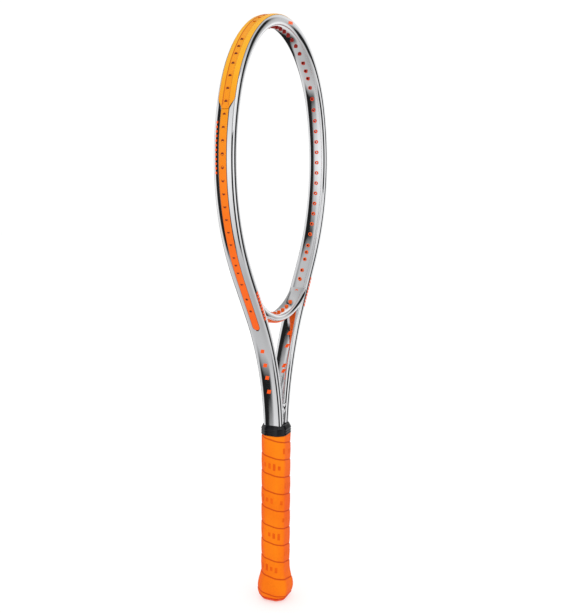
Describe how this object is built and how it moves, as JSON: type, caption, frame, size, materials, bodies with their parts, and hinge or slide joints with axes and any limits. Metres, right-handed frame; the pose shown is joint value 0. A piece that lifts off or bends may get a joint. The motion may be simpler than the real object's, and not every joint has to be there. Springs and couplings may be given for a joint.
{
  "type": "tennis racket",
  "caption": "Unstrung tennis racket: bright chrome-finish hairpin frame with curved bridge, orange head guard and grommet strips, wrapped eight-sided handle and butt cap with a removable door.",
  "frame": {"origin": "centre of the butt end, on the plane of its flat face", "axes": "+Z from the butt to the tip of the head; X lies in the string plane, across the head; Y is square to the string plane"},
  "size_m": [0.2742, 0.0392, 0.6858],
  "materials": {
    "frame_chrome": "mirror-bright metallised lacquer over carbon fibre, with small orange marks",
    "guard_amber": "satin moulded nylon, amber yellow",
    "strip_orange": "satin moulded nylon, orange",
    "pallet_foam": "moulded polyurethane foam",
    "cap_orange": "moulded plastic, orange red",
    "staple_steel": "bright steel wire",
    "grip_orange": "cushioned synthetic grip, orange, embossed",
    "tape_black": "vinyl tape",
    "collar_black": "semi-gloss rubber with raised rings"
  },
  "bodies": {
    "racket": {"frame_tube": "frame_chrome", "throat_bridge": "frame_chrome", "bumper_guard": "guard_amber", "grommet_strip_left": "strip_orange", "grommet_strip_right": "strip_orange", "bridge_grommet_strip": "strip_orange", "handle_pallet_front": "pallet_foam", "handle_pallet_back": "pallet_foam", "butt_cap": "cap_orange", "butt_cap_staples": "staple_steel", "grip_wrap": "grip_orange", "grip_wrap_staple": "staple_steel", "finishing_tape": "tape_black", "grip_collar": "collar_black"},
    "cap_door": {"butt_cap_door": "cap_orange"}
  },
  "joints": [
    {"name": "door_slide", "type": "slide", "parent": "racket", "child": "cap_door", "axis": [0, 0, -1], "range_m": [0, 0.012]}
  ]
}
